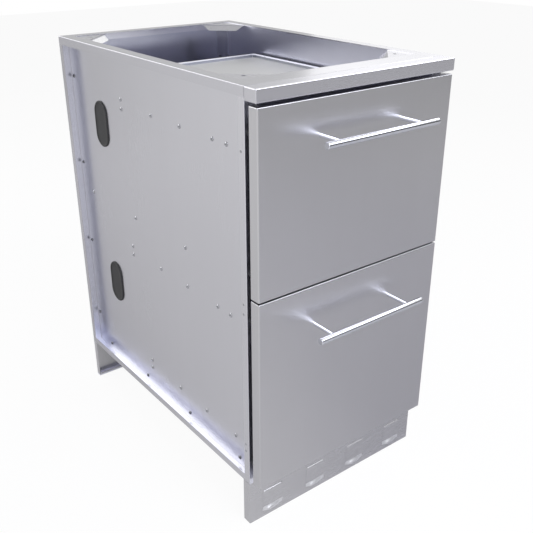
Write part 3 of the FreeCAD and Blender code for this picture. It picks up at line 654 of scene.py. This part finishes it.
ball_chrome = sheet_steel("ball_chrome", BALL_TONE, "Y", BALL_ROUGH, spread=0.02)
for drawer, names in SLIDES_OF.items():
    balls = []
    cages = []
    for name in names:
        for side, shift in CAGE_SHIFT.items():
            low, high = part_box(f"{side}_{name}_middle")
            arm = (low[0] + high[0]) / 2 + shift
            for race in (OUTER_RACE, INNER_RACE):
                start = drawer_face + race["start"]
                stop = drawer_face + race["stop"]
                places = np.arange(start + BALL_PITCH / 2, stop, BALL_PITCH)
                for z in (SLIDE_LEVELS[name] - race["offset"], SLIDE_LEVELS[name] + race["offset"]):
                    cages.append(joined_rings(cage_rings(arm, start, stop, z)))
                    balls += [joined_rings(ball_rings((arm, y, z), race["ball"])) for y in places]
    body = f"{drawer}_slide_middles"
    add_piece(f"{drawer}_slide_balls", several(balls), ball_chrome, body, sharp=80.0)
    add_piece(f"{drawer}_slide_cages", several(cages), slide_zinc, body)


# Drawer fronts: pans of brushed stainless sheet with rounded edges, closed behind by a liner plate.
# The grain runs upright, as on the sides, and draws reflections out sideways. The folded top and bottom
# edges are painted darker, which is painted shade.

FRONT_ROUGH = 0.36
FRONT_STRETCH = 0.6
# painted shade: the top and bottom edges of the fronts get a darker tone
EDGE_PAINTED_SHADE_TONE = (0.33, 0.329, 0.345)
EDGE = 0.0010
for drawer in ("upper", "lower"):
    front_low, front_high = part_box(f"{drawer}_drawer_front")
    face = ("Z", front_high[2] - EDGE, FACE_TONE, FRONT_ROUGH)
    lower_edge_painted_shade = ("Z", front_low[2] + EDGE, EDGE_PAINTED_SHADE_TONE, FRONT_ROUGH)
    brushed_front = sheet_steel(f"{drawer}_brushed_front", EDGE_PAINTED_SHADE_TONE, "Z", FRONT_ROUGH,
                                other_sides=[face, lower_edge_painted_shade], stretch=FRONT_STRETCH)
    finish_nodes(brushed_front, [f"{drawer}_drawer_front"])
finish_nodes(inner_sheet, ["upper_drawer_liner", "lower_drawer_liner"])


# Drawer boxes: floor and sides folded from one sheet of stainless, with a separate back and hemmed tops.
# They hang between the inner members of the slides. The back wall of the upper one is bead-blasted and
# painted a pale lilac, which is painted light.

# painted light: the back wall of the upper drawer gets a pale lilac
DRAWER_BACK_PAINTED_LIGHT_TONE = (0.76, 0.76, 0.94)
BLASTED_ROUGH = 0.6
drawer_back_painted_light = sheet_steel("drawer_back_painted_light", DRAWER_BACK_PAINTED_LIGHT_TONE, "X", BLASTED_ROUGH)
finish_nodes(inner_sheet, ["upper_drawer_box", "lower_drawer_box", "lower_drawer_back"])
finish_nodes(drawer_back_painted_light, ["upper_drawer_back"])


# Tray: a shallow pan on the rim of the upper drawer, folded from stainless sheet.
# Its floor and rim are bead-blasted, so that they scatter the light. The rim is painted a pale blue-white,
# which is painted light, and the walls a dark blue-grey, which is painted shade.

# painted light: the rim of the tray gets a pale blue-white
TRAY_RIM_PAINTED_LIGHT_TONE = (0.93, 0.935, 0.98)
TRAY_RIM_ROUGH = 0.55
# painted shade: the walls of the tray get a dark blue-grey
TRAY_WALL_PAINTED_SHADE_TONE = (0.34, 0.35, 0.40)
TRAY_WALL_ROUGH = 0.3
TRAY_FLOOR_TONE = (0.53, 0.53, 0.53)
TRAY_FLOOR_BAND = 1.3 * SHEET
tray_low, tray_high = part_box("upper_drawer_tray")
painted_shade_walls = ("Z", tray_high[2] - SHEET / 2, TRAY_WALL_PAINTED_SHADE_TONE, TRAY_WALL_ROUGH)
blasted_floor = ("Z", tray_low[2] + TRAY_FLOOR_BAND, TRAY_FLOOR_TONE, BLASTED_ROUGH)
tray_sides = [painted_shade_walls, blasted_floor]
tray_sheet = sheet_steel("tray_sheet", TRAY_RIM_PAINTED_LIGHT_TONE, "X", TRAY_RIM_ROUGH, other_sides=tray_sides)
finish_nodes(tray_sheet, ["upper_drawer_tray"])


# Handles: a round bar on two posts, polished stainless, screwed on from inside the drawer front.
# The bar's ends are turned with a small round, and the posts are saddled to the bar and brazed.

BAR_LENGTH = 0.261
BAR_RADIUS = 0.00625
BAR_STANDS = 0.054
BAR_ROUND = 0.0009
BAR_TONE = (0.70, 0.71, 0.76)
BAR_ROUGH = 0.14
POST_RADIUS = 0.0040
POST_PITCH = 0.192
SADDLE_SINK = 0.0003
HANDLE_LEVELS = {"upper": 0.784, "lower": 0.4295}


def turned_bar(level):
    """A bar along X, turned on a lathe: a quarter circle rounds each end, and the radius is even between."""
    around = np.linspace(0, 2 * math.pi, 64, endpoint=False)
    sweep = np.linspace(0, math.pi / 2, 6)
    end_x = -BAR_LENGTH / 2 + BAR_ROUND * (1 - np.cos(sweep))
    end_radius = BAR_RADIUS - BAR_ROUND * (1 - np.sin(sweep))
    x = np.concatenate([end_x, -end_x[::-1]])[:, None]
    radius = np.concatenate([end_radius, end_radius[::-1]])[:, None]
    y = drawer_face - BAR_STANDS + radius * np.cos(around)
    z = level + radius * np.sin(around)
    return joined_rings(np.stack([np.broadcast_to(x, y.shape), y, z], axis=-1))


def saddled_post(middle, level):
    """A post along Y, cut to the bar: its far end stops where its circle meets the bar's, sunk a little."""
    around = np.linspace(0, 2 * math.pi, 40, endpoint=False)
    x = middle + POST_RADIUS * np.cos(around)
    z = level - POST_RADIUS * np.sin(around)
    meet = np.sqrt(BAR_RADIUS ** 2 - (POST_RADIUS * np.sin(around)) ** 2)
    saddle = drawer_face - BAR_STANDS + meet - SADDLE_SINK
    share = np.linspace(0, 1, 4)[:, None]
    y = saddle + share * (drawer_face - saddle)
    return joined_rings(np.stack([np.broadcast_to(x, y.shape), y, np.broadcast_to(z, y.shape)], axis=-1))


bar_steel = sheet_steel("bar_steel", BAR_TONE, "X", BAR_ROUGH, spread=0.03)
for drawer, level in HANDLE_LEVELS.items():
    body = f"{drawer}_drawer"
    add_piece(f"{drawer}_bar", turned_bar(level), bar_steel, body, [f"{drawer}_handle_bar"])
    posts = several([saddled_post(way * POST_PITCH / 2, level) for way in (-1, 1)])
    add_piece(f"{drawer}_bar_posts", posts, bar_steel, body, [f"{drawer}_handle_posts"])
finish_nodes(screw_steel, ["upper_handle_screws", "lower_handle_screws"])


# Buffers: small discs that the drawer fronts close against.
# Moulded from the same black rubber as the plugs and pressed into the front edges of the side panels.

finish_nodes(plug_rubber, ["drawer_buffers"])


# Studio: a pale floor and a white room, which the camera and the metal both see. In the metal the floor's
# white falls off to the right front and the room's towards the horizon; six soft boxes light the rest.

def ray_share(tree, camera_share, glossy_share):
    """The share of plain white that camera and see-through rays and reflections get; other rays get none."""
    path = tree.nodes.new("ShaderNodeLightPath")
    seen = maths(tree, "MAXIMUM", path.outputs["Is Camera Ray"], path.outputs["Is Transmission Ray"])
    seen = maths(tree, "MULTIPLY", seen, camera_share)
    mirrored = maths(tree, "MULTIPLY", path.outputs["Is Glossy Ray"], glossy_share)
    return maths(tree, "MAXIMUM", seen, mirrored)


FLOOR_REACH = 9.0
FLOOR_SUNK = 0.0005
FLOOR_TONE = (0.5, 0.49, 0.5)
SEEN_TONE = (0.95, 0.945, 0.95)
FLOOR_WHITE = 0.94
MIRRORED_RIGHT = 0.144
MIRRORED_NEAR = 0.555
MIRRORED_LEFT = 0.52
MIRRORED_FAR = 0.36
FAR_START = 1.2
FAR_STOP = 2.2
NEAR_START = -0.06
NEAR_STOP = 0.32
LEFT_STOP = 2.0
BACKWARD_SHARE = -0.35
steps = np.linspace(-FLOOR_REACH, FLOOR_REACH, 2)
across, along = np.meshgrid(steps, steps, indexing="ij")
corners = np.stack([across.ravel(), along.ravel(), np.full(4, -FLOOR_SUNK)], axis=1)
floor_mesh = bpy.data.meshes.new("floor")
floor_mesh.from_pydata(corners.tolist(), [], [(0, 2, 3, 1)])
floor = bpy.data.objects.new("floor", floor_mesh)
bpy.context.scene.collection.objects.link(floor)
floor_paint = bpy.data.materials.new("floor_paint")
floor_paint.use_nodes = True
tree = floor_paint.node_tree
tree.nodes.clear()
matt = tree.nodes.new("ShaderNodeBsdfDiffuse")
seen = tree.nodes.new("ShaderNodeLightPath").outputs["Is Camera Ray"]
link(tree, blend_tones(tree, seen, FLOOR_TONE, SEEN_TONE), matt.inputs["Color"])
white = tree.nodes.new("ShaderNodeEmission")
white.inputs["Color"].default_value = (1, 1, 1, 1)
white.inputs["Strength"].default_value = 1.0
mix = tree.nodes.new("ShaderNodeMixShader")
spot = tree.nodes.new("ShaderNodeSeparateXYZ")
link(tree, tree.nodes.new("ShaderNodeTexCoord").outputs["Object"], spot.inputs["Vector"])
backward = maths(tree, "MULTIPLY", spot.outputs["Y"], BACKWARD_SHARE)
leftward = maths(tree, "SUBTRACT", backward, spot.outputs["X"])
near_white = mapped(tree, leftward, MIRRORED_RIGHT, MIRRORED_NEAR, NEAR_START, NEAR_STOP)
left_white = mapped(tree, leftward, 0.0, MIRRORED_LEFT, NEAR_STOP, LEFT_STOP)
far_white = mapped(tree, spot.outputs["X"], 0.0, MIRRORED_FAR, FAR_START, FAR_STOP)
mirrored_white = maths(tree, "ADD", maths(tree, "ADD", near_white, left_white), far_white)
link(tree, ray_share(tree, FLOOR_WHITE, mirrored_white), mix.inputs["Fac"])
link(tree, matt.outputs["BSDF"], mix.inputs[1])
link(tree, white.outputs["Emission"], mix.inputs[2])
link(tree, mix.outputs["Shader"], tree.nodes.new("ShaderNodeOutputMaterial").inputs["Surface"])
floor_mesh.materials.append(floor_paint)

ROOM_LIGHT = 0.26
ROOM_TINT = (0.97, 0.98, 1)
DIMMEST_SHARE = 0.3
REAR_HORIZON = 0.34
REAR_STOP = 0.5
FRONT_HORIZON = 0.02
FRONT_START = 0.22
FRONT_STOP = 0.45
HIGH_SHARE = 0.9
SIDE_START = 0.9
SIDE_STOP = 1.2
ZENITH_SHARE = 0.6
ZENITH_START = 0.75
ZENITH_STOP = 0.95
room = bpy.data.worlds.new("white_room")
bpy.context.scene.world = room
room.use_nodes = True
tree = room.node_tree
tree.nodes.clear()
dim = tree.nodes.new("ShaderNodeBackground")
dim.inputs["Color"].default_value = (*ROOM_TINT, 1)
white = tree.nodes.new("ShaderNodeBackground")
white.inputs["Color"].default_value = (1, 1, 1, 1)
white.inputs["Strength"].default_value = 1.0
mix = tree.nodes.new("ShaderNodeMixShader")
direction = tree.nodes.new("ShaderNodeSeparateXYZ")
link(tree, tree.nodes.new("ShaderNodeTexCoord").outputs["Generated"], direction.inputs["Vector"])
rear = mapped(tree, direction.outputs["Z"], REAR_HORIZON, HIGH_SHARE, 0.0, REAR_STOP)
right = mapped(tree, direction.outputs["Z"], FRONT_HORIZON, HIGH_SHARE, FRONT_START, FRONT_STOP)
rightward = maths(tree, "SUBTRACT", direction.outputs["X"], direction.outputs["Y"])
elsewhere = mapped(tree, rightward, 1.0, 0.0, SIDE_START, SIDE_STOP)
rising = maths(tree, "ADD", right, maths(tree, "MULTIPLY", elsewhere, maths(tree, "SUBTRACT", rear, right)))
zenith = mapped(tree, direction.outputs["Z"], 1.0, ZENITH_SHARE, ZENITH_START, ZENITH_STOP)
rising = maths(tree, "MULTIPLY", rising, zenith)
glow = mapped(tree, rising, DIMMEST_SHARE * ROOM_LIGHT, ROOM_LIGHT, 0.0, REAR_HORIZON)
link(tree, ray_share(tree, 1.0, rising), mix.inputs["Fac"])
link(tree, glow, dim.inputs["Strength"])
link(tree, dim.outputs["Background"], mix.inputs[1])
link(tree, white.outputs["Background"], mix.inputs[2])
link(tree, mix.outputs["Shader"], tree.nodes.new("ShaderNodeOutputWorld").inputs["Surface"])


def soft_box(name, place, target, size, glow, tint=(1.0, 1.0, 1.0)):
    """A flat lamp whose face has the given brightness and tint, at place and turned to target."""
    lamp = bpy.data.lights.new(name, "AREA")
    lamp.shape = "RECTANGLE"
    lamp.color = tint
    lamp.size = size[0]
    lamp.size_y = size[1]
    lamp.energy = glow * size[0] * size[1] * math.pi
    box = bpy.data.objects.new(name, lamp)
    box.location = place
    box.rotation_euler = (Vector(target) - Vector(place)).to_track_quat("-Z", "Y").to_euler()
    bpy.context.scene.collection.objects.link(box)


COOL = (0.87, 0.895, 1.0)
soft_box("right_rear_box", place=(2.56, 1.56, 2.0), target=(0, 0, 0.85), size=(1.8, 1.5), glow=0.72)
soft_box("left_rear_box", place=(-1.6, 2.2, 1.9), target=(-0.2, 0, 0.1), size=(2.8, 2.0), glow=2.0)
soft_box("front_box", place=(0.15, -2.2, 2.55), target=(0, -0.3, 0.6), size=(1.5, 1.15), glow=9.5,
         tint=COOL)
soft_box("right_front_box", place=(1.45, -1.75, 2.5), target=(0, -0.35, 0.7), size=(1.6, 1.25), glow=2.5,
         tint=COOL)
soft_box("right_strip", place=(2.0, -0.6, 2.35), target=(0, -0.4, 0.6), size=(3.2, 0.6), glow=2.2)
soft_box("left_front_box", place=(-1.4, -2.5, 1.75), target=(-0.2, 0, 0.2), size=(2.0, 1.4), glow=2.2,
         tint=COOL)


# Camera: at the photograph's viewing angle, from the front left and above.
# Place, heading, tilt, roll and lens are those of a pinhole camera fitted to the corners of the cabinet.

EYE = (-0.8859, -1.2168, 1.1000)
HEADING = 37.44
TILT = 25.06
ROLL = -0.142
LENS = 49.66
SENSOR = 36.0
view = bpy.data.cameras.new("camera")
view.lens = LENS
view.sensor_width = SENSOR
camera = bpy.data.objects.new("camera", view)
camera.location = EYE
turn = Euler((math.radians(90 - TILT), 0, -math.radians(HEADING)), "XYZ").to_matrix()
roll = Euler((0, 0, math.radians(ROLL)), "XYZ").to_matrix()
camera.rotation_euler = (turn @ roll).to_euler()
bpy.context.scene.collection.objects.link(camera)
bpy.context.scene.camera = camera
bpy.context.scene.view_settings.view_transform = "Standard"
